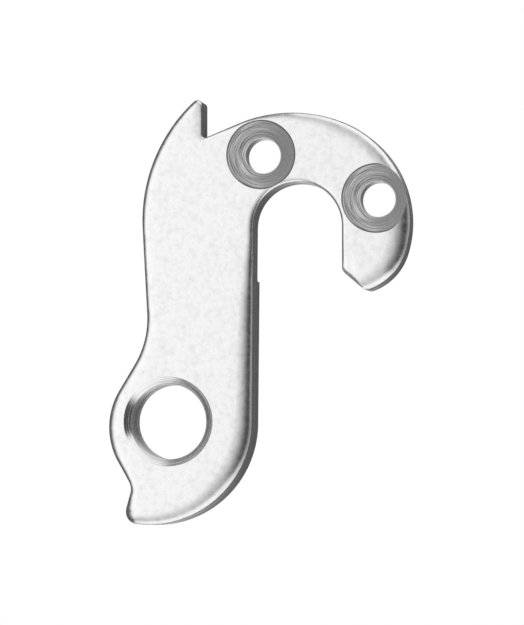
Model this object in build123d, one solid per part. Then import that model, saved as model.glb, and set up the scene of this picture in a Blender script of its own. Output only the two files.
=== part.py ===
from build123d import *
import os
from collections import namedtuple
from math import asin, atan2, cos, dist, hypot, pi, radians, sin, sqrt, tan

# Bicycle derailleur hanger: a plate blanked from aluminium. Its hook sits round the wheel axle,
# two countersunk screws hold it to the frame, and the derailleur's bolt goes in its threaded eye.
# All sizes are in millimetres and angles in degrees. X points to the bicycle's front, Z up,
# and -Y outwards, to the chain side. The origin is on the eye's axis, in the plane of the frame seat.

# Plate
seat_thickness = 5.0          # upper half, which lies on the frame
eye_thickness = 7.2           # lower half, which hangs below the frame
seat_edge_drop = 6.3          # step between the two halves, below the axle
seat_corner_radius = 0.5      # left by the cutter in the step's inner corner
back_edge_chamfer = 0.3       # deburred edge on the lower half's back

# Threaded eye
thread_diameter = 10.0
thread_pitch = 1.0
outer_mouth_diameter = 10.75  # lead-in cone on the outer face
inner_mouth_diameter = 10.3   # lead-in cone on the back
mouth_angle = 90.0

# Axle slot, open downwards
axle_x = 15.55
axle_z = 23.25
slot_width = 10.75
slot_side_length = 4.85       # straight side of the slot, down to the lead-in
lead_in_radius = 1.1          # rounds the slot's side into the slanted lead-in

# Hook
hook_radius = 12.75
hook_shift_x = 0.7            # centre of the hook's rim from the axle
hook_shift_z = 0.65
hook_end_radius = 6.7
hook_end_angle = -18.0        # where the rim turns into the end round
hook_tip_radius = 1.0
hook_tip_angle = -70.5        # where the end round turns into the tip
hook_top_radius = 16.3
hook_top_angle = 66.5         # where the rim turns into the flatter top

# Horn, behind the hook
horn_reach = 11.55            # upright face of the horn, behind the axle
horn_root_height = 11.15      # centre of the horn's root, above the axle
horn_root_radius = 0.4
horn_tip_radius = 0.55

# Stem and eye
back_reach = 18.75            # back edge of the hanger, behind the axle
back_radius = 19.15
back_height = 1.0             # centre of the back edge's sweep, above the axle
waist_depth = 0.6             # how far the waist draws in from the back edge
waist_radius = 10.75
waist_flank = 3.75            # straight between the waist and the eye
eye_radius = 8.3
eye_shift_x = 1.05            # centre of the eye's outer round from the thread
eye_shift_z = -0.65
stem_front_x = 9.95           # front edge of the stem, level with the eye
sweep_radius = 12.3           # round under the eye, up to the stem's front edge

# Stop for the derailleur's angle screw
notch_angle = 225.0           # direction of the notch from the eye's round
notch_radius = 1.8
notch_flank = 2.8             # straight between the eye and the notch
stop_angle = -47.0            # direction of the stop's corner from the notch
stop_radius = 1.45
stop_flank = 1.85             # straight face that the screw bears on

# Screw holes
screw_hole_diameter = 4.2
countersink_diameter = 8.35
countersink_angle = 90.0
rear_screw = (-4.35, 8.65)    # from the axle
front_screw = (9.5, 3.3)

# Rolled edge of the outer face: how far the rounding reaches in from each edge
roll_radius = 2.6
roll_width_sweep = 2.3
roll_width_stem = 1.6
roll_width_end = 2.4
roll_width_hook = 2.0
roll_width_back = 1.1
roll_width_stop = 1.2
roll_corner_radius = 3.0      # smallest round of the line that the rolled edge follows

# A round of an outline. The outline goes anticlockwise, seen from outside: turn is 1 where it
# goes round the outside of a corner and -1 where it goes round the inside.
Round = namedtuple("Round", "x z radius turn")
touch_gap = 1e-4              # rounds nearer than this touch, with no straight between them


def inside(big, angle, radius):
    """The round that touches a bigger one from within, in the given direction from its centre."""
    reach = big.radius - radius
    return Round(big.x + reach * cos(radians(angle)), big.z + reach * sin(radians(angle)), radius, 1)


def inside_at(big, x, radius, side):
    """The same, at a given x, on the upper (side 1) or lower (side -1) part of the bigger round."""
    reach = big.radius - radius
    return Round(x, big.z + side * sqrt(reach ** 2 - (x - big.x) ** 2), radius, 1)


def around(small, angle, radius):
    """The bigger round that touches a smaller one from without, in the given direction."""
    reach = radius - small.radius
    return Round(small.x - reach * cos(radians(angle)), small.z - reach * sin(radians(angle)), radius, 1)


def after_straight(start, angle, radius, straight):
    """The round of opposite turn that a straight of the given length joins to another round."""
    reach = hypot(start.radius + radius, straight)
    x = start.x + reach * cos(radians(angle))
    z = start.z + reach * sin(radians(angle))
    return Round(x, z, radius, -start.turn)


def grown(base, amount):
    """A round of an outline that lies outside the base outline by the given amount."""
    return base._replace(radius=base.radius + base.turn * amount)


def heading_between(start, end):
    """Direction of the straight that leaves one round and runs into the next."""
    across = end.x - start.x
    up = end.z - start.z
    lean = (start.turn * start.radius - end.turn * end.radius) / hypot(across, up)
    return atan2(up, across) + asin(max(-1.0, min(1.0, lean)))


def point_on(base, heading):
    """Point of a round where the outline has the given heading."""
    reach = base.turn * base.radius
    return (base.x + reach * sin(heading), base.z - reach * cos(heading))


def outline(rounds):
    """Closed face bounded by the rounds, in order, and the straights that touch them."""
    following = rounds[1:] + rounds[:1]
    headings = [heading_between(base, after) for base, after in zip(rounds, following)]
    leaving = [point_on(base, heading) for base, heading in zip(rounds, headings)]
    arriving = [point_on(after, heading) for after, heading in zip(following, headings)]
    edges = []
    for i, base in enumerate(rounds):
        start = arriving[i - 1]
        if dist(leaving[i - 1], start) > touch_gap:
            edges.append(Edge.make_line(leaving[i - 1], start))
        else:
            start = leaving[i - 1]
        turned = base.turn * (headings[i] - headings[i - 1]) % (2 * pi)
        middle = point_on(base, headings[i - 1] + base.turn * turned / 2)
        edges.append(Edge.make_three_point_arc(start, middle, leaving[i]))
    return Plane.XZ * Face(Wire(edges))


def plate(face, thickness_behind_seat):
    """A face of the seat plane drawn out to the outer face and back behind the seat."""
    return extrude(face, seat_thickness) + extrude(face, -thickness_behind_seat)


def cone_sink(x, z, face_y, inward, mouth_diameter, hole_diameter, angle):
    """Cone that opens a hole at a face. inward is 1 for the outer face and -1 for the back."""
    depth = (mouth_diameter - hole_diameter) / 2 / tan(radians(angle / 2))
    mouth = Plane((x, face_y, z), x_dir=(1, 0, 0), z_dir=(0, inward, 0))
    from_mouth = (Align.CENTER, Align.CENTER, Align.MIN)
    return mouth * Cone(mouth_diameter / 2, hole_diameter / 2, depth, align=from_mouth)


def through_hole(x, z, diameter):
    """Plain hole along Y, longer than the plate is thick."""
    length = 2 * (seat_thickness + eye_thickness)
    return Plane((x, 0, z), x_dir=(1, 0, 0), z_dir=(0, -1, 0)) * Cylinder(diameter / 2, length)


# Rounds of the hanger's outline
slot_radius = slot_width / 2
slot = Round(axle_x, axle_z, slot_radius, -1)
lead_in = Round(axle_x + slot_radius + lead_in_radius, axle_z - slot_side_length, lead_in_radius, 1)
hook = Round(axle_x + hook_shift_x, axle_z + hook_shift_z, hook_radius, 1)
hook_end = inside(hook, hook_end_angle, hook_end_radius)
hook_tip = inside(hook_end, hook_tip_angle, hook_tip_radius)
hook_top = around(hook, hook_top_angle, hook_top_radius)
horn_x = axle_x - horn_reach
horn_root = Round(horn_x + horn_root_radius, axle_z + horn_root_height, horn_root_radius, -1)
back_x = axle_x - back_reach
back = Round(back_x + back_radius, axle_z + back_height, back_radius, 1)
horn_tip = inside_at(back, horn_x - horn_tip_radius, horn_tip_radius, 1)
eye = Round(eye_shift_x, eye_shift_z, eye_radius, 1)
waist_x = back_x + waist_depth - waist_radius
waist_z = eye.z + sqrt((eye.radius + waist_radius) ** 2 + waist_flank ** 2 - (waist_x - eye.x) ** 2)
waist = Round(waist_x, waist_z, waist_radius, -1)
notch = after_straight(eye, notch_angle, notch_radius, notch_flank)
stop = after_straight(notch, stop_angle, stop_radius, stop_flank)
sweep_x = stem_front_x - sweep_radius
sweep_z = stop.z + sqrt((sweep_radius - stop_radius) ** 2 - (sweep_x - stop.x) ** 2)
sweep = Round(sweep_x, sweep_z, sweep_radius, 1)
hanger_outline = outline([
    sweep, slot, lead_in, hook_tip, hook_end, hook, hook_top,
    horn_root, horn_tip, back, waist, eye, notch, stop,
])

# Rounds of the line that the rolled edge follows, outside the hanger's own outline
roll_slot_rear = axle_x - slot_radius + roll_radius - roll_width_stem
roll_slot_front = axle_x + slot_radius - roll_radius
roll_slot_radius = (roll_slot_front - roll_slot_rear) / 2
roll_slot_z = axle_z + slot_radius - roll_radius - roll_slot_radius
roll_slot = Round((roll_slot_rear + roll_slot_front) / 2, roll_slot_z, roll_slot_radius, -1)
roll_sweep = grown(sweep, roll_radius - roll_width_sweep)
roll_hook = grown(hook, roll_radius - roll_width_hook)
roll_end = inside(roll_hook, hook_end_angle, hook_end_radius + roll_radius - roll_width_end)
roll_heel = inside_at(roll_end, roll_slot_front + roll_corner_radius, roll_corner_radius, -1)
roll_back = grown(back, roll_radius - roll_width_back)
roll_horn = inside_at(roll_back, horn_x + roll_radius - roll_corner_radius, roll_corner_radius, 1)
roll_waist = grown(waist, roll_radius - roll_width_back)
roll_eye = grown(eye, roll_radius - roll_width_back)
roll_stop_x = stop.x - stop_radius - roll_radius + roll_width_stop + roll_corner_radius
roll_stop = inside_at(roll_sweep, roll_stop_x, roll_corner_radius, -1)
roll_outline = outline([
    roll_sweep, roll_slot, roll_heel, roll_end, roll_hook,
    roll_horn, roll_back, roll_waist, roll_eye, roll_stop,
])


def blank():
    """The plate at its full thickness, deburred behind and rolled over at its outer edge."""
    body = plate(hanger_outline, eye_thickness - seat_thickness)
    back_face = body.faces().sort_by(Axis.Y)[-1]
    body = chamfer(back_face.outer_wire().edges(), back_edge_chamfer)
    roll = plate(roll_outline, eye_thickness)
    outer_face = roll.faces().sort_by(Axis.Y)[0]
    return body & fillet(outer_face.outer_wire().edges(), roll_radius)


def seat_cutter():
    """What is milled off the back of the upper half and the hook, to seat them on the frame."""
    reach = 4 * (hook_radius + back_reach)
    height = axle_z + reach
    edge_z = axle_z - seat_edge_drop
    with BuildPart() as above_step:
        with Locations((axle_x, eye_thickness / 2, edge_z + height / 2)):
            Box(reach, eye_thickness, height)
        corner = above_step.edges().filter_by(Axis.X).group_by(Axis.Z)[0].sort_by(Axis.Y)[0]
        fillet(corner, seat_corner_radius)
    behind_hook = Pos(axle_x + reach / 2, eye_thickness / 2, axle_z) * Box(reach, eye_thickness, reach)
    return above_step.part + behind_hook


def threaded_eye_cutter():
    """Hole at the thread's inner diameter, with a lead-in cone at both ends."""
    hole = thread_diameter - thread_pitch
    back_y = eye_thickness - seat_thickness
    outer_mouth = cone_sink(0, 0, -seat_thickness, 1, outer_mouth_diameter, hole, mouth_angle)
    inner_mouth = cone_sink(0, 0, back_y, -1, inner_mouth_diameter, hole, mouth_angle)
    return through_hole(0, 0, hole) + outer_mouth + inner_mouth


def screw_hole_cutter(place):
    """Screw hole with a countersink on the outer face."""
    x = axle_x + place[0]
    z = axle_z + place[1]
    hole = screw_hole_diameter
    sink = cone_sink(x, z, -seat_thickness, 1, countersink_diameter, hole, countersink_angle)
    return through_hole(x, z, hole) + sink


hanger = blank() - seat_cutter() - threaded_eye_cutter()
for place in (rear_screw, front_screw):
    hanger -= screw_hole_cutter(place)

os.makedirs("parts", exist_ok=True)
export_step(hanger, "parts/hanger.step")
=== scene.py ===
from collections import namedtuple
from math import asin, atan2, cos, hypot, inf, pi, radians, sin, sqrt, tan

import bmesh
import bpy
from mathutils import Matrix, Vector
from mathutils.geometry import delaunay_2d_cdt
from mathutils.kdtree import KDTree


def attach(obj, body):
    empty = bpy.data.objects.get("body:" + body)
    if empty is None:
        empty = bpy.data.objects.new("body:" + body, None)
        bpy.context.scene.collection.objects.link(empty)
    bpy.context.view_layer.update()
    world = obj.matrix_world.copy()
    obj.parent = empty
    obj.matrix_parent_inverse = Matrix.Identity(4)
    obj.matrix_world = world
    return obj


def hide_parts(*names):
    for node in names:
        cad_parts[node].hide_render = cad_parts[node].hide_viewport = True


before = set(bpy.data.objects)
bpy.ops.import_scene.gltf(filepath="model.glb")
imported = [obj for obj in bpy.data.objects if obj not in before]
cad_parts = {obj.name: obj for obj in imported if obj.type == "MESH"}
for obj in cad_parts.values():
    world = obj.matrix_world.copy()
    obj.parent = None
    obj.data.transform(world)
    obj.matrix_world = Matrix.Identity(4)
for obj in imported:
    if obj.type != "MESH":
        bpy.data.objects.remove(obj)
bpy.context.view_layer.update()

# Bicycle derailleur hanger. Lengths are in millimetres and angles in degrees, in the frame of the solid:
# X to the bicycle's front, Z up, -Y outwards. The origin is on the threaded eye's axis, in the plane of
# the frame seat.
MM = 0.001

# Plate
outer_face_y = -5.0
seat_y = 0.0                  # back of the upper half, which lies on the frame
eye_back_y = 2.2              # back of the lower half, which hangs below the frame
seat_edge_drop = 6.3          # step between the two halves, below the axle
seat_corner_radius = 0.5      # left by the cutter in the step's inner corner
back_edge_chamfer = 0.3       # deburred edge on the lower half's back

# Axle slot, open downwards
axle_x = 15.55
axle_z = 23.25
slot_radius = 5.375
slot_side_length = 4.85       # straight side of the slot, down to the lead-in
lead_in_radius = 1.1          # rounds the slot's side into the slanted lead-in

# Hook
hook_radius = 12.75
hook_shift_x = 0.7            # centre of the hook's rim from the axle
hook_shift_z = 0.65
hook_end_radius = 6.7
hook_end_angle = -18.0        # where the rim turns into the end round
hook_tip_radius = 1.0
hook_tip_angle = -70.5        # where the end round turns into the tip
hook_top_radius = 16.3
hook_top_angle = 66.5         # where the rim turns into the flatter top

# Horn, behind the hook
horn_reach = 11.55            # upright face of the horn, behind the axle
horn_root_height = 11.15      # centre of the horn's root, above the axle
horn_root_radius = 0.4
horn_tip_radius = 0.55

# Stem and eye
back_reach = 18.75            # back edge of the hanger, behind the axle
back_radius = 19.15
back_height = 1.0             # centre of the back edge's sweep, above the axle
waist_depth = 0.6             # how far the waist draws in from the back edge
waist_radius = 10.75
waist_flank = 3.75            # straight between the waist and the eye
eye_radius = 8.3
eye_shift_x = 1.05            # centre of the eye's outer round from the thread
eye_shift_z = -0.65
stem_front_x = 9.95           # front edge of the stem, level with the eye
sweep_radius = 12.3           # round under the eye, up to the stem's front edge

# Stop for the derailleur's angle screw
notch_angle = 225.0           # direction of the notch from the eye's round
notch_radius = 1.8
notch_flank = 2.8             # straight between the eye and the notch
stop_angle = -47.0            # direction of the stop's corner from the notch
stop_radius = 1.45
stop_flank = 1.85             # straight face that the screw bears on

# Screw holes
rear_screw = (-4.35, 8.65)    # from the axle
front_screw = (9.5, 3.3)
screw_axes = [(axle_x + x, axle_z + z) for x, z in (rear_screw, front_screw)]
screw_hole_radius = 2.1
countersink_radius = 4.175
screw_edge_radius = 0.5       # small round where a countersink meets its hole

# Threaded eye
eye_hole_radius = 4.5
outer_mouth_radius = 5.375    # lead-in cone on the outer face
inner_mouth_radius = 5.15     # lead-in cone on the back
mouth_angle = 45.0            # slope of these cones and of the countersinks
thread_radius = 5.0
thread_pitch = 1.0
thread_crest_half = 0.0625    # half of the thread's flat, as a share of its pitch
tap_core_radius = 4.3         # smaller than the hole, so that only the thread cuts

# Fineness of the mesh
corner_spacing = 0.15         # between points in the outline's rounds
straight_spacing = 0.3        # and on its straights
corner_step = 6               # widest angle between points in a small round
face_spacing = 0.9            # between points on the flat of the outer face
round_sides = 144             # sides of a hole
tap_rows_per_turn = 20
sliver_width = 0.003          # edges shorter than this are closed up
sharp_angle = 26              # from here on, an edge is drawn sharp

# Cutters
over = 0.5                    # how far they start outside the face that they cut
tap_over = 0.8                # the same for the tap
past = 40.0                   # well past the hanger

# Rolled edge of the outer face: the angles of the rows of points up its rounding, and at places along the
# outline the x and z, how far in it reaches, and its depth
roll_angles = (0, 9, 18, 27, 36, 45, 54, 62, 70, 77, 84)
roll_clearance = 0.97         # a point is left out where an edge is nearer than this share of its reach
roll_corner_share = 0.8       # and where its reach is over this share of a corner's radius
roll_places = (
    # Front of the stem
    (10.2, 22.0, 0.7, 0.48),
    (10.0, 17.5, 1.15, 0.78),
    (9.95, 13.0, 1.6, 1.1),
    (9.95, 4.0, 1.8, 1.25),
    # Sweep under the eye
    (9.5, -2.0, 2.2, 1.5),
    (7.0, -7.5, 2.1, 1.45),
    (3.0, -11.3, 1.7, 1.15),
    (-1.0, -12.3, 1.4, 0.95),
    # Stop and notch
    (-4.0, -12.0, 1.3, 0.9),
    (-5.1, -10.8, 1.7, 1.05),
    (-4.3, -8.8, 1.0, 0.55),
    (-3.9, -7.4, 0.8, 0.4),
    # Eye
    (-5.5, -5.4, 1.0, 0.55),
    (-7.0, -2.0, 1.4, 0.7),
    (-7.1, 1.0, 1.4, 0.7),
    (-5.8, 4.5, 1.1, 0.55),
    # Waist and back
    (-2.6, 12.0, 1.0, 0.5),
    (-3.1, 20.0, 0.9, 0.45),
    (-2.6, 28.0, 1.0, 0.55),
    (-1.0, 32.5, 1.1, 0.6),
    # Horn
    (2.6, 38.0, 0.8, 0.5),
    (3.5, 38.6, 0.7, 0.7),
    (4.0, 36.5, 1.3, 0.16),
    (5.0, 34.1, 0.5, 0.2),
    # Top of the hook
    (9.0, 35.6, 0.5, 0.3),
    (14.6, 36.8, 1.1, 0.75),
    (17.0, 36.7, 1.4, 1.0),
    (21.7, 35.2, 1.7, 1.15),
    # Rim and end of the hook
    (26.5, 31.5, 1.8, 1.2),
    (28.5, 27.5, 1.1, 0.65),
    (29.0, 24.0, 2.5, 1.75),
    (27.6, 18.2, 2.4, 1.52),
    (25.5, 16.3, 2.2, 1.4),
    (23.9, 15.66, 2.0, 1.4),
    # Lead-in and slot
    (22.6, 16.6, 1.05, 0.72),
    (21.1, 17.8, 0.7, 0.45),
    (20.9, 22.0, 0.5, 0.35),
    (15.5, 28.6, 0.6, 0.4),
    (11.9, 27.2, 0.6, 0.4),
)

# Tip of the hook, where the rolled edges of three sides run together: their widths along the slot, the
# lead-in and the outside of the hook, and how far from the tip this holds and fades out
tip_widths = (0.6, 1.05, 2.0)
tip_depth_share = 0.69        # depth of the rolled edge there, as a share of its width
tip_blending = 2.2            # higher for a sharper change from side to side
tip_reach = 2.2
tip_fade = 4.2
tip_spacing = 0.25            # between points there

# Finishes, in the order of the hanger's material slots
BLASTED, SHEARED, MILLED, TURNED, ROUNDED, DRILLED, CONED, TAPPED = range(8)


def eased(value, start, end):
    """A smooth rise from 0 at the start to 1 at the end, level beyond. The end may be the lower."""
    t = max(0.0, min(1.0, (value - start) / (end - start)))
    return t * t * (3 - 2 * t)


def mixed(first, second, share):
    """A number between two others, by the share of the second."""
    return first + (second - first) * share


# Outline of the hanger

# A round of the outline. The outline goes anticlockwise, seen from outside: turn is 1 where it goes round
# the outside of a corner and -1 where it goes round the inside.
Round = namedtuple("Round", "x z radius turn")

# A spot on the outline: its place as (x, z), the way into the hanger, and the radius of its corner, which
# limits how far in the rolled edge can reach
Spot = namedtuple("Spot", "place inwards room")


def inside(big, angle, radius):
    """The round that touches a bigger one from within, in the given direction from its centre."""
    reach = big.radius - radius
    return Round(big.x + reach * cos(radians(angle)), big.z + reach * sin(radians(angle)), radius, 1)


def around(small, angle, radius):
    """The bigger round that touches a smaller one from without, in the given direction."""
    reach = radius - small.radius
    return Round(small.x - reach * cos(radians(angle)), small.z - reach * sin(radians(angle)), radius, 1)


def after_straight(start, angle, radius, straight):
    """The round of opposite turn that a straight of the given length joins to another round."""
    reach = hypot(start.radius + radius, straight)
    x = start.x + reach * cos(radians(angle))
    z = start.z + reach * sin(radians(angle))
    return Round(x, z, radius, -start.turn)


slot = Round(axle_x, axle_z, slot_radius, -1)
lead_in = Round(axle_x + slot_radius + lead_in_radius, axle_z - slot_side_length, lead_in_radius, 1)
hook = Round(axle_x + hook_shift_x, axle_z + hook_shift_z, hook_radius, 1)
hook_end = inside(hook, hook_end_angle, hook_end_radius)
hook_tip = inside(hook_end, hook_tip_angle, hook_tip_radius)
hook_top = around(hook, hook_top_angle, hook_top_radius)
horn_x = axle_x - horn_reach
horn_root = Round(horn_x + horn_root_radius, axle_z + horn_root_height, horn_root_radius, -1)
back_x = axle_x - back_reach
back = Round(back_x + back_radius, axle_z + back_height, back_radius, 1)
horn_tip_x = horn_x - horn_tip_radius
horn_tip_z = back.z + sqrt((back_radius - horn_tip_radius) ** 2 - (horn_tip_x - back.x) ** 2)
horn_tip = Round(horn_tip_x, horn_tip_z, horn_tip_radius, 1)
eye = Round(eye_shift_x, eye_shift_z, eye_radius, 1)
waist_x = back_x + waist_depth - waist_radius
waist_z = eye.z + sqrt((eye_radius + waist_radius) ** 2 + waist_flank ** 2 - (waist_x - eye.x) ** 2)
waist = Round(waist_x, waist_z, waist_radius, -1)
notch = after_straight(eye, notch_angle, notch_radius, notch_flank)
stop = after_straight(notch, stop_angle, stop_radius, stop_flank)
sweep_x = stem_front_x - sweep_radius
sweep_z = stop.z + sqrt((sweep_radius - stop_radius) ** 2 - (sweep_x - stop.x) ** 2)
sweep = Round(sweep_x, sweep_z, sweep_radius, 1)
outline_rounds = (
    sweep, slot, lead_in, hook_tip, hook_end, hook, hook_top,
    horn_root, horn_tip, back, waist, eye, notch, stop,
)


def centre_of(base):
    return Vector((base.x, base.z))


def left_of(heading):
    """The way to the left of a heading, which is into the hanger."""
    return Vector((-sin(heading), cos(heading)))


def heading_between(start, end):
    """Direction of the straight that leaves one round and runs into the next."""
    across = end.x - start.x
    up = end.z - start.z
    lean = (start.turn * start.radius - end.turn * end.radius) / hypot(across, up)
    return atan2(up, across) + asin(max(-1.0, min(1.0, lean)))


def point_on(base, heading):
    """Point of a round where the outline has the given heading."""
    reach = base.turn * base.radius
    return Vector((base.x + reach * sin(heading), base.z - reach * cos(heading)))


def outline():
    """Spots along the outline, round each corner and along the straight after it."""
    following = outline_rounds[1:] + outline_rounds[:1]
    headings = [heading_between(base, after) for base, after in zip(outline_rounds, following)]
    spots = []
    for i, base in enumerate(outline_rounds):
        room = base.radius if base.turn > 0 else inf
        turned = base.turn * (headings[i] - headings[i - 1]) % (2 * pi)
        steps = max(round(turned * base.radius / corner_spacing), round(turned / radians(corner_step)), 2)
        for step in range(steps + 1):
            heading = headings[i - 1] + base.turn * turned * step / steps
            spots.append(Spot(point_on(base, heading), left_of(heading), room))
        straight = point_on(following[i], headings[i]) - spots[-1].place
        if straight.length < corner_spacing / 2:
            spots.pop()
        pieces = round(straight.length / straight_spacing)
        for piece in range(1, pieces):
            spots.append(Spot(spots[-1].place + straight / pieces, spots[-1].inwards, inf))
    return spots


def spot_finder(spots):
    """A search tree of the outline's spots."""
    tree = KDTree(len(spots))
    for i, spot in enumerate(spots):
        tree.insert((spot.place.x, spot.place.y, 0), i)
    tree.balance()
    return tree


def nearest_spot(tree, x, z):
    """Which spot of the outline is nearest to a place, and how far away it is."""
    _, i, gap = tree.find((x, z, 0))
    return i, gap


def roll_along(spots, tree):
    """Width and depth of the rolled edge at each spot of the outline, eased from place to place."""
    marks = {}
    for x, z, width, depth in roll_places:
        marks[nearest_spot(tree, x, z)[0]] = Vector((width, depth))
    starts = sorted(marks)
    rolls = [None] * len(spots)
    for start, end in zip(starts, starts[1:] + starts[:1]):
        span = (end - start) % len(spots)
        for step in range(span):
            rolls[(start + step) % len(spots)] = marks[start].lerp(marks[end], eased(step, 0, span))
    return rolls


# Mesh of the hanger

def as_object(mesh, name):
    data = bpy.data.meshes.new(name)
    mesh.to_mesh(data)
    mesh.free()
    made = bpy.data.objects.new(name, data)
    bpy.context.scene.collection.objects.link(made)
    return made


def corner_at(mesh, x, y, z):
    """A new corner of a mesh, at a place in millimetres."""
    return mesh.verts.new((x * MM, y * MM, z * MM))


def ring_round(mesh, x, y, z, radii):
    """A ring of corners round an axis along Y, with a radius for each of them."""
    ring = []
    for side, radius in enumerate(radii):
        angle = 2 * pi * side / len(radii)
        ring.append(corner_at(mesh, x + radius * cos(angle), y, z + radius * sin(angle)))
    return ring


def skin_rings(mesh, rings):
    """Faces between a row of rings, which stays open at its ends."""
    sides = len(rings[0])
    for lower, upper in zip(rings, rings[1:]):
        for side in range(sides):
            after = (side + 1) % sides
            mesh.faces.new((lower[side], lower[after], upper[after], upper[side]))


def close_rings(mesh, rings):
    """Skins a row of rings and closes its ends."""
    skin_rings(mesh, rings)
    mesh.faces.new(rings[0])
    mesh.faces.new(rings[-1])
    bmesh.ops.recalc_face_normals(mesh, faces=mesh.faces)


def from_side(start, end, place):
    """Distance into the hanger from the straight side between two rounds of the outline."""
    heading = heading_between(start, end)
    return left_of(heading).dot(place - point_on(start, heading))


def tip_roll(place, gap):
    """Depth of the rolled edge near the hook's tip, run together from three sides.

    The gap is how far in from the outline the place lies.
    """
    least_distance = 0.001
    distances = (
        from_side(slot, lead_in, place),
        from_side(lead_in, hook_tip, place),
        hook_end.radius - (place - centre_of(hook_end)).length,
    )
    shares = []
    for distance, width in zip(distances, tip_widths):
        shares.append((max(distance, least_distance) / width) ** -tip_blending)
    width = sum(share * width for share, width in zip(shares, tip_widths)) / sum(shares)
    inwards = min(1.0, gap / width, sum(shares) ** (-1 / tip_blending))
    return tip_depth_share * width * (1 - sqrt(1 - (1 - inwards) ** 2))


def from_tip(place):
    return (place - centre_of(hook_tip)).length


def run_together(places, depths, tree):
    """Depths of places on the outer face, with those near the hook's tip run together."""
    result = []
    for place, depth in zip(places, depths):
        away = from_tip(place)
        if away < tip_fade:
            gap = nearest_spot(tree, place.x, place.y)[1]
            depth = mixed(depth, tip_roll(place, gap), eased(away, tip_fade, tip_reach))
        result.append(depth)
    return result


def rolled_rows(spots, rolls, tree):
    """Places in rows up the rolled edge, each with its depth below the outer face."""
    for spot, (width, depth) in zip(spots, rolls):
        for angle in roll_angles:
            reach = width * (1 - sin(radians(angle)))
            place = spot.place + spot.inwards * reach
            at_tip = from_tip(place) < tip_reach and reach > 2 * tip_spacing
            clear = nearest_spot(tree, place.x, place.y)[1] > roll_clearance * reach
            if reach < roll_corner_share * spot.room and clear and not at_tip:
                yield place, depth * (1 - cos(radians(angle)))


def grid(spots, spacing):
    """Places in rows and columns over the outline's box."""
    low_x = min(spot.place.x for spot in spots)
    low_z = min(spot.place.y for spot in spots)
    columns = int((max(spot.place.x for spot in spots) - low_x) / spacing)
    rows = int((max(spot.place.y for spot in spots) - low_z) / spacing)
    for column in range(columns):
        for row in range(rows):
            yield Vector((low_x + column * spacing, low_z + row * spacing))


def flat_places(spots, rolls, tree, spacing, at_tip):
    """Places of a grid that lie within the rolled edge, either at the hook's tip or everywhere else."""
    for place in grid(spots, spacing):
        i, gap = nearest_spot(tree, place.x, place.y)
        margin = tip_spacing if at_tip else rolls[i].x + spacing / 2
        within = gap > margin and spots[i].inwards.dot(place - spots[i].place) > 0
        if within and (from_tip(place) < tip_reach) == at_tip:
            yield place


def outer_face(mesh, spots):
    """Skins the outer face with its rolled edge. Returns the ring of its corners along the outline."""
    tree = spot_finder(spots)
    rolls = roll_along(spots, tree)
    places = [spot.place for spot in spots]
    depths = [depth for width, depth in rolls]
    for place, depth in rolled_rows(spots, rolls, tree):
        places.append(place)
        depths.append(depth)
    for spacing, at_tip in ((face_spacing, False), (tip_spacing, True)):
        for place in flat_places(spots, rolls, tree, spacing, at_tip):
            places.append(place)
            depths.append(0.0)
    depths = run_together(places, depths, tree)
    rim = [(i, (i + 1) % len(spots)) for i in range(len(spots))]
    triangles_within_rim = 1
    closest = 1e-6
    laid, _, faces, came_from, _, _ = delaunay_2d_cdt(places, rim, [], triangles_within_rim, closest)
    corners = []
    corner_of = {}
    for place, sources in zip(laid, came_from):
        corners.append(corner_at(mesh, place.x, outer_face_y + depths[sources[0]], place.y))
        corner_of[sources[0]] = corners[-1]
    for face in faces:
        mesh.faces.new([corners[i] for i in face])
    return [corner_of[i] for i in range(len(spots))]


def blank():
    """The hanger as it is blanked: a plate with a rolled edge outside and a deburred edge behind."""
    mesh = bmesh.new()
    spots = outline()
    rings = [outer_face(mesh, spots)]
    for inset, y in ((0.0, eye_back_y - back_edge_chamfer), (back_edge_chamfer, eye_back_y)):
        places = [spot.place + spot.inwards * inset for spot in spots]
        rings.append([corner_at(mesh, place.x, y, place.y) for place in places])
    skin_rings(mesh, rings)
    mesh.faces.new(rings[-1])
    bmesh.ops.recalc_face_normals(mesh, faces=mesh.faces)
    return as_object(mesh, "hanger_body")


def turned_cutter(name, x, z, profile):
    """A round cutter along Y from its profile of (radius, y)."""
    mesh = bmesh.new()
    close_rings(mesh, [ring_round(mesh, x, y, z, [radius] * round_sides) for radius, y in profile])
    return as_object(mesh, name)


def screw_cutter(x, z):
    """Screw hole with its countersink and the small round between them."""
    angle_step = 9
    round_drop = tan(radians(mouth_angle / 2))
    cone_end_y = outer_face_y + countersink_radius - screw_hole_radius
    profile = [(countersink_radius + over, outer_face_y - over)]
    for angle in range(round(mouth_angle), 91, angle_step):
        wider = screw_edge_radius * (1 - sin(radians(angle)))
        further_out = screw_edge_radius * (cos(radians(angle)) - round_drop)
        profile.append((screw_hole_radius + wider, cone_end_y - further_out))
    profile.append((screw_hole_radius, seat_y + over))
    return turned_cutter("screw_cutter", x, z, profile)


def eye_cutter():
    """Hole at the thread's inner diameter, with a lead-in cone at both ends."""
    return turned_cutter("eye_cutter", 0, 0, (
        (outer_mouth_radius + over, outer_face_y - over),
        (eye_hole_radius, outer_face_y + outer_mouth_radius - eye_hole_radius),
        (eye_hole_radius, eye_back_y - inner_mouth_radius + eye_hole_radius),
        (inner_mouth_radius + over, eye_back_y + over),
    ))


def tap_radius(turns):
    """Radius of the tap at a place along its thread, counted in turns from the bottom of a groove."""
    half_turn = 0.5
    from_crest = abs(turns % 1.0 - half_turn)
    height = min(1.0, (half_turn - from_crest) / (half_turn - thread_crest_half))
    return mixed(tap_core_radius, thread_radius, height)


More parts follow.
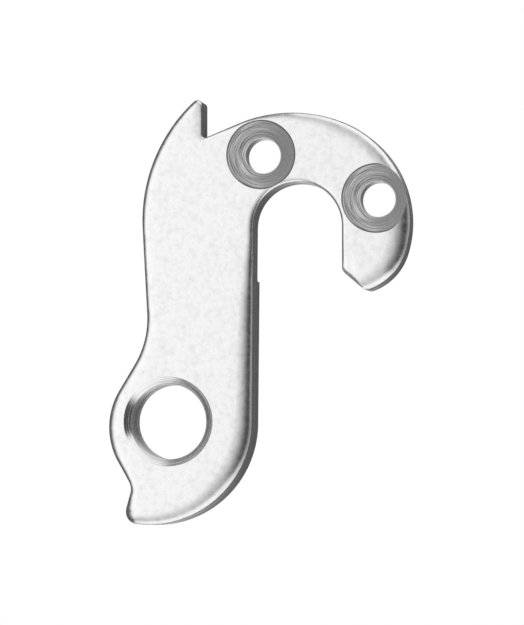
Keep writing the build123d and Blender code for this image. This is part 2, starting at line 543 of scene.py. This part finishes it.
def tap():
    """Threaded rod through the eye, longer than the hanger is thick."""
    low = outer_face_y - tap_over
    high = eye_back_y + tap_over
    rows = round((high - low) / thread_pitch * tap_rows_per_turn)
    mesh = bmesh.new()
    rings = []
    for row in range(rows + 1):
        y = mixed(low, high, row / rows)
        radii = [tap_radius(y / thread_pitch + side / round_sides) for side in range(round_sides)]
        rings.append(ring_round(mesh, 0, y, 0, radii))
    close_rings(mesh, rings)
    return as_object(mesh, "tap")


def bar_cutter(name, low_x, section):
    """A bar along X with the given section of (y, z), from low_x to well past the hanger."""
    mesh = bmesh.new()
    close_rings(mesh, [[corner_at(mesh, x, y, z) for y, z in section] for x in (low_x, past)])
    return as_object(mesh, name)


def seat_cutters():
    """What is milled off the back of the upper half and off the back of the hook."""
    angle_step = 15
    step_z = axle_z - seat_edge_drop
    top_z = 2 * past
    corner = []
    for angle in range(0, 91, angle_step):
        y = seat_y + seat_corner_radius * (1 - cos(radians(angle)))
        z = step_z + seat_corner_radius * (1 - sin(radians(angle)))
        corner.append((y, z))
    above_step = corner + [(past, step_z), (past, top_z), (seat_y, top_z)]
    behind_hook = [(seat_y, 0), (past, 0), (past, top_z), (seat_y, top_z)]
    return [bar_cutter("seat_cutter", -past, above_step), bar_cutter("hook_cutter", axle_x, behind_hook)]


def cut(body, cutter):
    """Takes the cutter out of the body and removes the cutter."""
    step = body.modifiers.new("cut", "BOOLEAN")
    step.object = cutter
    step.operation = "DIFFERENCE"
    step.solver = "EXACT"
    seen = body.evaluated_get(bpy.context.evaluated_depsgraph_get())
    result = bpy.data.meshes.new_from_object(seen)
    body.modifiers.clear()
    body.data = result
    bpy.data.objects.remove(cutter)


def finish_of(face):
    """Which finish a face of the hanger has, from its place and the way it faces.

    The face's facing is 1 where it looks straight back, 0 at a wall and -1 on the outer face.
    """
    centre = face.calc_center_median() / MM
    facing = face.normal.y
    flat_back = facing > 0.95
    leaning_back = facing > 0.1
    wall = abs(facing) < 0.02
    cone = abs(abs(facing) - sin(radians(mouth_angle))) < 0.01
    at_seat = centre.y < seat_y + seat_corner_radius
    hole_slack, thread_slack = 0.2, 0.02
    from_eye = hypot(centre.x, centre.z)
    from_screw = min(hypot(centre.x - x, centre.z - z) for x, z in screw_axes)
    if flat_back:
        return MILLED if at_seat else BLASTED
    if from_screw < countersink_radius and cone:
        return TURNED
    if from_screw < screw_hole_radius + hole_slack:
        return DRILLED if wall else ROUNDED
    if from_eye < outer_mouth_radius and cone:
        return CONED
    if from_eye < thread_radius + thread_slack:
        return TAPPED
    if leaning_back and at_seat:
        return MILLED
    return SHEARED if wall else BLASTED


def hanger_piece(finishes):
    """The finished hanger, with its finishes in the order of the material slots."""
    body = blank()
    cutters = seat_cutters() + [screw_cutter(x, z) for x, z in screw_axes] + [eye_cutter(), tap()]
    for cutter in cutters:
        cut(body, cutter)
    mesh = bmesh.new()
    mesh.from_mesh(body.data)
    bmesh.ops.dissolve_degenerate(mesh, dist=sliver_width * MM, edges=mesh.edges)
    loose = [vert for vert in mesh.verts if not vert.link_faces]
    bmesh.ops.delete(mesh, geom=loose, context="VERTS")
    for face in mesh.faces:
        face.material_index = finish_of(face)
        face.smooth = True
    for edge in mesh.edges:
        edge.smooth = edge.is_manifold and edge.calc_face_angle() < radians(sharp_angle)
    for finish in finishes:
        body.data.materials.append(finish)
    mesh.to_mesh(body.data)
    mesh.free()
    body.modifiers.new("flat_faces_lead", "WEIGHTED_NORMAL").keep_sharp = True
    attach(body, "root")
    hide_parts("hanger")


# Nodes of the finishes

def add(tree, kind, inputs=None, **settings):
    """A new node. The inputs give a number, a colour or another node's output for a socket."""
    made = tree.nodes.new("ShaderNode" + kind)
    for name, value in settings.items():
        setattr(made, name, value)
    for socket, value in (inputs or {}).items():
        if isinstance(value, bpy.types.NodeSocket):
            tree.links.new(value, made.inputs[socket])
        else:
            made.inputs[socket].default_value = value
    return made


def grey(tone):
    return (tone, tone, tone, 1.0)


def reckon(tree, operation, first, second):
    """A number worked out from two others."""
    return add(tree, "Math", {0: first, 1: second}, operation=operation).outputs["Value"]


def varied(tree, pattern, middle, amount):
    """A number that a pattern moves to both sides of its middle."""
    inputs = {0: pattern, 1: amount, 2: middle}
    return add(tree, "Math", inputs, operation="MULTIPLY_ADD").outputs["Value"]


def graded(tree, mask, start, end):
    """A number that goes from the start to the end while a mask goes from 0 to 1."""
    return varied(tree, mask, middle=start, amount=end - start)


def ranged(tree, value, start, end, low=0.0, high=1.0):
    """A number that goes from low to high while a value goes from the start to the end."""
    return add(tree, "MapRange", {
        "Value": value, "From Min": start, "From Max": end, "To Min": low, "To Max": high,
    }).outputs["Result"]


def coordinate(tree, place, axis):
    return add(tree, "SeparateXYZ", {"Vector": place}).outputs[axis]


def from_axis(tree, place, axis_x, axis_z):
    """Distance in millimetres from an axis along Y."""
    flat = add(tree, "VectorMath", {0: place, 1: (1, 0, 1)}, operation="MULTIPLY").outputs["Vector"]
    inputs = {0: flat, 1: (axis_x, 0, axis_z)}
    return add(tree, "VectorMath", inputs, operation="DISTANCE").outputs["Value"]


def effect(name, inputs, output):
    """A new node group with number or vector inputs and one number as its output."""
    made = bpy.data.node_groups.new(name, "ShaderNodeTree")
    for label, kind in inputs.items():
        made.interface.new_socket(label, in_out="INPUT", socket_type="NodeSocket" + kind)
    made.interface.new_socket(output, in_out="OUTPUT", socket_type="NodeSocketFloat")
    given = made.nodes.new("NodeGroupInput").outputs
    result = made.nodes.new("NodeGroupOutput").inputs[output]
    return made, given, result


def spread_noise(tree, inputs, **settings):
    """Noise, which is mostly close to its middle, spread out to about -1 to 1."""
    middle, gain = 0.5, 3.0
    noise = add(tree, "TexNoise", inputs, **settings)
    return reckon(tree, "MULTIPLY", reckon(tree, "SUBTRACT", noise.outputs["Fac"], middle), gain)


def grain_effect():
    """Uneven grain, about from -1 to 1, with a given size and stretch along Y in millimetres."""
    made, given, result = effect("grain", {"Place": "Vector", "Size": "Float", "Length": "Float"}, "Grain")
    across = reckon(made, "DIVIDE", 1.0, given["Size"])
    along = reckon(made, "DIVIDE", 1.0, given["Length"])
    share = add(made, "CombineXYZ", {"X": across, "Y": along, "Z": across}).outputs["Vector"]
    place = add(made, "VectorMath", {0: given["Place"], 1: share}, operation="MULTIPLY").outputs["Vector"]
    noise = spread_noise(made, {"Vector": place, "Scale": 1.0, "Detail": 1.5, "Roughness": 0.5})
    made.links.new(noise, result)


def tool_line_effect():
    """Lines left by a cutter, about from -1 to 1, which change along a given length in millimetres."""
    made, given, result = effect("tool_lines", {"Along": "Float", "Spacing": "Float"}, "Line")
    place = reckon(made, "DIVIDE", given["Along"], given["Spacing"])
    inputs = {"W": place, "Scale": 1.0, "Detail": 2.0, "Roughness": 0.6}
    made.links.new(spread_noise(made, inputs, noise_dimensions="1D"), result)


def grain(tree, place, size, length):
    """Grain with its own size and length along Y, in millimetres."""
    inputs = {"Place": place, "Size": size, "Length": length}
    return add(tree, "Group", inputs, node_tree=bpy.data.node_groups["grain"]).outputs["Grain"]


def tool_lines(tree, along, spacing):
    """Lines of a cutter with their own spacing in millimetres."""
    inputs = {"Along": along, "Spacing": spacing}
    return add(tree, "Group", inputs, node_tree=bpy.data.node_groups["tool_lines"]).outputs["Line"]


def metal(name, edge_tint, metallic=1.0):
    """A bare metal finish: its material, nodes and shader, and the place on the hanger in millimetres."""
    made = bpy.data.materials.new(name)
    made.use_nodes = True
    tree = made.node_tree
    shader = tree.nodes["Principled BSDF"]
    shader.inputs["Metallic"].default_value = metallic
    shader.inputs["Specular Tint"].default_value = grey(edge_tint)
    metres = add(tree, "TexCoord").outputs["Object"]
    place = add(tree, "VectorMath", {0: metres, "Scale": 1 / MM}, operation="SCALE").outputs["Vector"]
    return made, tree, shader, place


def dress(tree, shader, tone, roughness, relief, depth):
    """Joins a finish's tone, roughness and relief, of the given depth in micrometres, to its shader."""
    colour = add(tree, "CombineColor", {"Red": tone, "Green": tone, "Blue": tone})
    bump = add(tree, "Bump", {"Strength": 1.0, "Distance": depth * 1e-6, "Height": relief})
    tree.links.new(colour.outputs["Color"], shader.inputs["Base Color"])
    tree.links.new(roughness, shader.inputs["Roughness"])
    tree.links.new(bump.outputs["Normal"], shader.inputs["Normal"])


# Finishes

def blasted_face():
    """Satin face, blasted with fine beads, with a few faint pits."""
    made, tree, shader, place = metal("blasted_face", edge_tint=0.25)
    beads = grain(tree, place, size=0.65, length=0.65)
    clouds = grain(tree, place, size=1.6, length=1.6)
    cloudy = reckon(tree, "MULTIPLY", clouds, 0.02)
    pits = add(tree, "TexVoronoi", {"Vector": place, "Scale": 0.75}).outputs["Distance"]
    pitted = ranged(tree, pits, start=0.04, end=0.1, low=0.85, high=1.0)
    tone = reckon(tree, "ADD", varied(tree, beads, middle=0.955, amount=0.14), cloudy)
    tone = reckon(tree, "MULTIPLY", tone, pitted)
    dress(tree, shader, tone, varied(tree, beads, middle=0.25, amount=0.08), beads, depth=4.5)
    return made


def sheared_wall():
    """Edge of the blanked plate: smooth and lighter next to the rolled edge, torn and darker behind."""
    made, tree, shader, place = metal("sheared_wall", edge_tint=0.35, metallic=0.8)
    streaks = grain(tree, place, size=0.16, length=3.0)
    waves = grain(tree, place, size=2.5, length=40.0)
    depth = reckon(tree, "ADD", coordinate(tree, place, "Y"), reckon(tree, "MULTIPLY", waves, 0.5))
    torn = ranged(tree, depth, start=-2.6, end=-0.8)
    streaky = reckon(tree, "MULTIPLY", streaks, 0.06)
    tone = reckon(tree, "ADD", graded(tree, torn, start=0.5, end=0.4), streaky)
    dress(tree, shader, tone, graded(tree, torn, start=0.16, end=0.26), streaks, depth=5.0)
    return made


def milled_seat():
    """Back of the upper half, with the arcs of a milling cutter."""
    made, tree, shader, place = metal("milled_seat", edge_tint=0.5)
    arcs = tool_lines(tree, from_axis(tree, place, axis_x=6.0, axis_z=-30.0), spacing=0.35)
    tone = varied(tree, arcs, middle=0.82, amount=0.05)
    dress(tree, shader, tone, varied(tree, arcs, middle=0.28, amount=0.05), arcs, depth=3.0)
    return made


def turned_countersink():
    """Dull cone with the rings of a chattering cutter, deepest to the rear, and a thin dark rim of painted
    shade along its outer edge.
    """
    made, tree, shader, place = metal("turned_countersink", edge_tint=0.5, metallic=0.2)
    (rear_x, rear_z), (front_x, front_z) = screw_axes
    from_rear = from_axis(tree, place, rear_x, rear_z)
    from_front = from_axis(tree, place, front_x, front_z)
    radius = reckon(tree, "MINIMUM", from_rear, from_front)
    at_front = reckon(tree, "LESS_THAN", from_front, from_rear)
    hole_x = graded(tree, at_front, start=rear_x, end=front_x)
    hole_z = graded(tree, at_front, start=rear_z, end=front_z)
    x = coordinate(tree, place, "X")
    ahead = reckon(tree, "SUBTRACT", x, hole_x)
    behind = reckon(tree, "SUBTRACT", hole_x, x)
    above = reckon(tree, "SUBTRACT", coordinate(tree, place, "Z"), hole_z)
    way_round = reckon(tree, "MULTIPLY", reckon(tree, "ARCTAN2", above, behind), radius)
    unrolled = add(tree, "CombineXYZ", {"X": radius, "Y": way_round}).outputs["Vector"]
    chatter = ranged(tree, ahead, start=-1.0, end=2.5, low=1.0, high=0.15)
    rings = reckon(tree, "MULTIPLY", grain(tree, unrolled, size=0.13, length=3.5), chatter)
    # Painted shade: the tone is darkened in a thin ring along the countersink's outer edge, where it meets
    # the outer face.
    painted_rim_shade_start = countersink_radius - 0.24
    painted_rim_shade_end = countersink_radius - 0.1
    rim = ranged(tree, radius, start=painted_rim_shade_start, end=painted_rim_shade_end, low=1.0, high=0.35)
    tone = reckon(tree, "MULTIPLY", varied(tree, rings, middle=0.39, amount=0.42), rim)
    dress(tree, shader, tone, varied(tree, rings, middle=0.42, amount=-0.1), rings, depth=25.0)
    return made


def rounded_mouth():
    """Bright round between a countersink and its hole."""
    made, tree, shader, place = metal("rounded_mouth", edge_tint=0.5, metallic=0.7)
    lines = tool_lines(tree, coordinate(tree, place, "Y"), spacing=0.12)
    tone = varied(tree, lines, middle=0.95, amount=0.08)
    dress(tree, shader, tone, varied(tree, lines, middle=0.2, amount=0.05), lines, depth=3.0)
    return made


def drilled_hole():
    """Side of a screw hole, with the lines of its drill."""
    made, tree, shader, place = metal("drilled_hole", edge_tint=0.6, metallic=0.85)
    lines = tool_lines(tree, coordinate(tree, place, "Y"), spacing=0.25)
    tone = varied(tree, lines, middle=0.85, amount=0.12)
    dress(tree, shader, tone, varied(tree, lines, middle=0.18, amount=0.05), lines, depth=4.0)
    return made


def coned_mouth():
    """Lead-in cones of the threaded eye."""
    made, tree, shader, place = metal("coned_mouth", edge_tint=0.3)
    rings = tool_lines(tree, from_axis(tree, place, axis_x=0.0, axis_z=0.0), spacing=0.2)
    tone = varied(tree, rings, middle=0.96, amount=0.08)
    dress(tree, shader, tone, varied(tree, rings, middle=0.16, amount=0.05), rings, depth=5.0)
    return made


def tapped_thread():
    """Thread with the dull lines that its tap leaves."""
    made, tree, shader, place = metal("tapped_thread", edge_tint=0.2)
    lines = tool_lines(tree, coordinate(tree, place, "Y"), spacing=1.1)
    streaks = grain(tree, place, size=0.3, length=0.3)
    streaky = reckon(tree, "MULTIPLY", streaks, 0.08)
    tone = reckon(tree, "ADD", varied(tree, lines, middle=0.86, amount=0.55), streaky)
    dress(tree, shader, tone, varied(tree, streaks, middle=0.24, amount=0.05), streaks, depth=5.0)
    return made


# Studio

def floor():
    """Plain pale floor, which the metal doesn't mirror."""
    half_side = 450.0
    middle = Vector((11, 0, -45))
    mesh = bmesh.new()
    bmesh.ops.create_grid(mesh, x_segments=1, y_segments=1, size=half_side * MM)
    made = as_object(mesh, "floor")
    made.location = middle * MM
    pale = bpy.data.materials.new("floor")
    pale.use_nodes = True
    shader = pale.node_tree.nodes["Principled BSDF"]
    shader.inputs["Base Color"].default_value = grey(0.93)
    shader.inputs["Roughness"].default_value = 1.0
    shader.inputs["Specular IOR Level"].default_value = 0.0
    made.data.materials.append(pale)
    made.visible_glossy = False


def screen_tone(tilt, clock):
    """Tone of the studio screen that a surface shows which is tilted, in degrees, to a side of the face.

    The clock angle is 0 to the right and 90 upwards. With more tilt, the surface shows the white ahead, a
    dark band, a bright band and the dark ground. The bands differ to the right, to the left and below.
    Walls, which are tilted most, show what is behind.
    """
    right = 1 - eased(abs(clock), 26, 58)
    straight_right = 1 - eased(max(1.6 * clock, -clock), 12, 52)
    left = eased(abs(clock + 8), 96, 112)
    below = eased(-clock, 10, 40)

    white = 0.985 - 0.045 * max(-1.0, min(4.0, tilt * cos(radians(clock))))
    dark_band = mixed(0.57, 0.065, right)
    bright_band = mixed(1.0, 0.34, straight_right)
    ground_right = 0.5
    ground = 0.12

    in_dark_band = eased(tilt, 0, 28 + 12 * right)
    in_bright_band = eased(tilt, 29 + 18 * straight_right, 41 + 22 * straight_right)
    on_ground_right = eased(tilt, 66, 73) * right
    on_ground = eased(tilt, 58 + 6 * below, 63 + 7 * below) * (1 - right)
    tone = mixed(white, dark_band, in_dark_band)
    tone = mixed(tone, bright_band, in_bright_band)
    tone = mixed(tone, ground_right, on_ground_right)
    tone = mixed(tone, ground, on_ground)

    left_tone = max(white, 1.0) - 0.92 * eased(tilt, 17, 33) + 0.5 * eased(tilt, 56, 66)
    tone = mixed(tone, left_tone, left)

    leftwards = -cos(radians(clock)) * (180 - 2 * tilt)
    behind = mixed(0.13, 1.0, max(0.0, min(1.0, (leftwards - 0.5) / 16)))
    return mixed(tone, behind, eased(tilt, 71, 79))


def screen_shade():
    """Glow of the studio screen, in the tone of its corners."""
    made = bpy.data.materials.new("studio_screen")
    made.use_nodes = True
    tree = made.node_tree
    tree.nodes.remove(tree.nodes["Principled BSDF"])
    tone = add(tree, "Attribute", attribute_name="tone").outputs["Color"]
    glow = add(tree, "Emission", {"Color": tone}).outputs["Emission"]
    tree.links.new(glow, tree.nodes["Material Output"].inputs["Surface"])
    return made


def studio_screen():
    """Graded screen round the hanger, white ahead and dark to the sides, that only the metal sees."""
    middle = Vector((11, -5, 13))
    radius = 2000.0
    to_left = radians(7.8)
    to_top = radians(2.7)
    tilt_step, last_tilt = 2, 88
    clock_step = 5
    ahead = Vector((-sin(to_left), -cos(to_left), sin(to_top))).normalized()
    aside = Vector((0, 0, 1)).cross(ahead).normalized()
    upwards = ahead.cross(aside).normalized()
    mesh = bmesh.new()
    tone_layer = mesh.verts.layers.float.new("tone")
    rings = []
    for tilt in range(0, last_tilt + 1, tilt_step):
        ring = []
        for clock in range(-180, 180, clock_step):
            sideways = aside * cos(radians(clock)) + upwards * sin(radians(clock))
            way = ahead * cos(radians(2 * tilt)) + sideways * sin(radians(2 * tilt))
            vert = mesh.verts.new((middle + way * radius) * MM)
            vert[tone_layer] = screen_tone(tilt, clock)
            ring.append(vert)
        rings.append(ring)
    skin_rings(mesh, rings)
    mesh.faces.new(rings[-1])
    made = as_object(mesh, "studio_screen")
    made.data.materials.append(screen_shade())
    made.visible_camera = False
    made.visible_diffuse = False
    made.visible_shadow = False


def studio_world():
    """White background, which lights the hanger more softly than it looks."""
    light, white = 0.6, 1.0
    world = bpy.data.worlds.new("studio")
    bpy.context.scene.world = world
    world.use_nodes = True
    tree = world.node_tree
    background = tree.nodes["Background"]
    background.inputs["Color"].default_value = grey(1.0)
    path = add(tree, "LightPath").outputs
    seen = reckon(tree, "MAXIMUM", path["Is Camera Ray"], path["Is Glossy Ray"])
    seen = reckon(tree, "MAXIMUM", seen, path["Is Transmission Ray"])
    tree.links.new(ranged(tree, seen, 0.0, 1.0, light, white), background.inputs["Strength"])


def aim(made, stands, looks_at):
    """Places a lamp or the camera and turns it towards a point."""
    made.location = stands * MM
    made.rotation_mode = "QUATERNION"
    made.rotation_quaternion = (looks_at - stands).to_track_quat("-Z", "Y")


def soft_lamp():
    """Large lamp in front, to the right, which the metal doesn't mirror."""
    lamp = bpy.data.lights.new("soft_lamp", "AREA")
    lamp.size = 400.0 * MM
    lamp.energy = 2.5
    made = bpy.data.objects.new("soft_lamp", lamp)
    bpy.context.scene.collection.objects.link(made)
    aim(made, stands=Vector((360, -450, 30)), looks_at=Vector((11, 0, 10)))
    made.visible_glossy = False


def camera():
    """Camera at the photograph's viewing angle."""
    focal_length = 4607       # in pixels, as is the height
    picture_height = 625
    data = bpy.data.cameras.new("camera")
    data.sensor_width = 36.0
    data.lens = focal_length * data.sensor_width / picture_height
    made = bpy.data.objects.new("camera", data)
    bpy.context.scene.collection.objects.link(made)
    aim(made, stands=Vector((85.90, -549.31, -12.97)), looks_at=Vector((11.35, -5.0, 12.975)))
    bpy.context.scene.camera = made


grain_effect()
tool_line_effect()
hanger_piece([
    blasted_face(), sheared_wall(), milled_seat(), turned_countersink(),
    rounded_mouth(), drilled_hole(), coned_mouth(), tapped_thread(),
])
studio_world()
floor()
studio_screen()
soft_lamp()
camera()
bpy.context.scene.view_settings.view_transform = "Standard"
